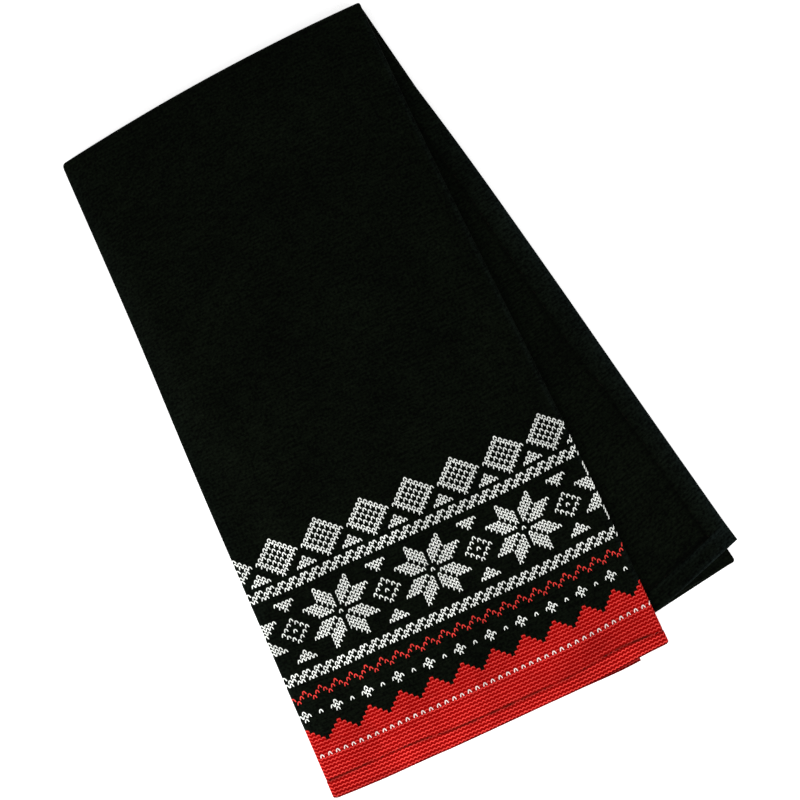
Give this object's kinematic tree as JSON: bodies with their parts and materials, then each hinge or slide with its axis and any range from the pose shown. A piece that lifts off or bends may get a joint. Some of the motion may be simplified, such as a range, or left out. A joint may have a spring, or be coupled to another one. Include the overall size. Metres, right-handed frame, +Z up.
{
  "type": "folded tea towel",
  "caption": "Black cotton tea towel with a knit-look winter border and a red end band, folded lengthwise and then across, lying flat with its lower half fanned out.",
  "frame": {"origin": "on the surface it lies on, under the centre of the folded towel's outline", "axes": "+Y along the upper half towards the cross fold, +X across it towards the side where the lower half fans out, +Z up"},
  "size_m": [0.2286, 0.3606, 0.009],
  "materials": {
    "towel_cloth": "matt black jacquard cotton with white and red figures near one end"
  },
  "bodies": {
    "root": {"towel": "towel_cloth"}
  },
  "joints": []
}
